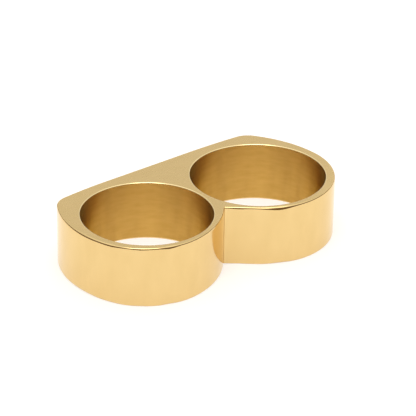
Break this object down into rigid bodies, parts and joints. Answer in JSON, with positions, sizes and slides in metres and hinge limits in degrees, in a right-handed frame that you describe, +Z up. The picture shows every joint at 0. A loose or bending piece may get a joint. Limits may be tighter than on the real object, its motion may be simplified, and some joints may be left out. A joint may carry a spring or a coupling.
{
  "type": "two finger ring",
  "caption": "Polished gold two finger ring in one piece: two round bands side by side with a straight flat face across the back and a V groove between them in front.",
  "frame": {"origin": "middle of the base, on the surface that the ring lies on", "axes": "+X from the smaller bore to the larger one, +Y towards the flat face, +Z up along both bores"},
  "size_m": [0.0392, 0.021, 0.0084],
  "materials": {
    "gold": "polished outer wall, brushed bores, satin end faces"
  },
  "bodies": {
    "root": {"ring_body": "gold"}
  },
  "joints": []
}
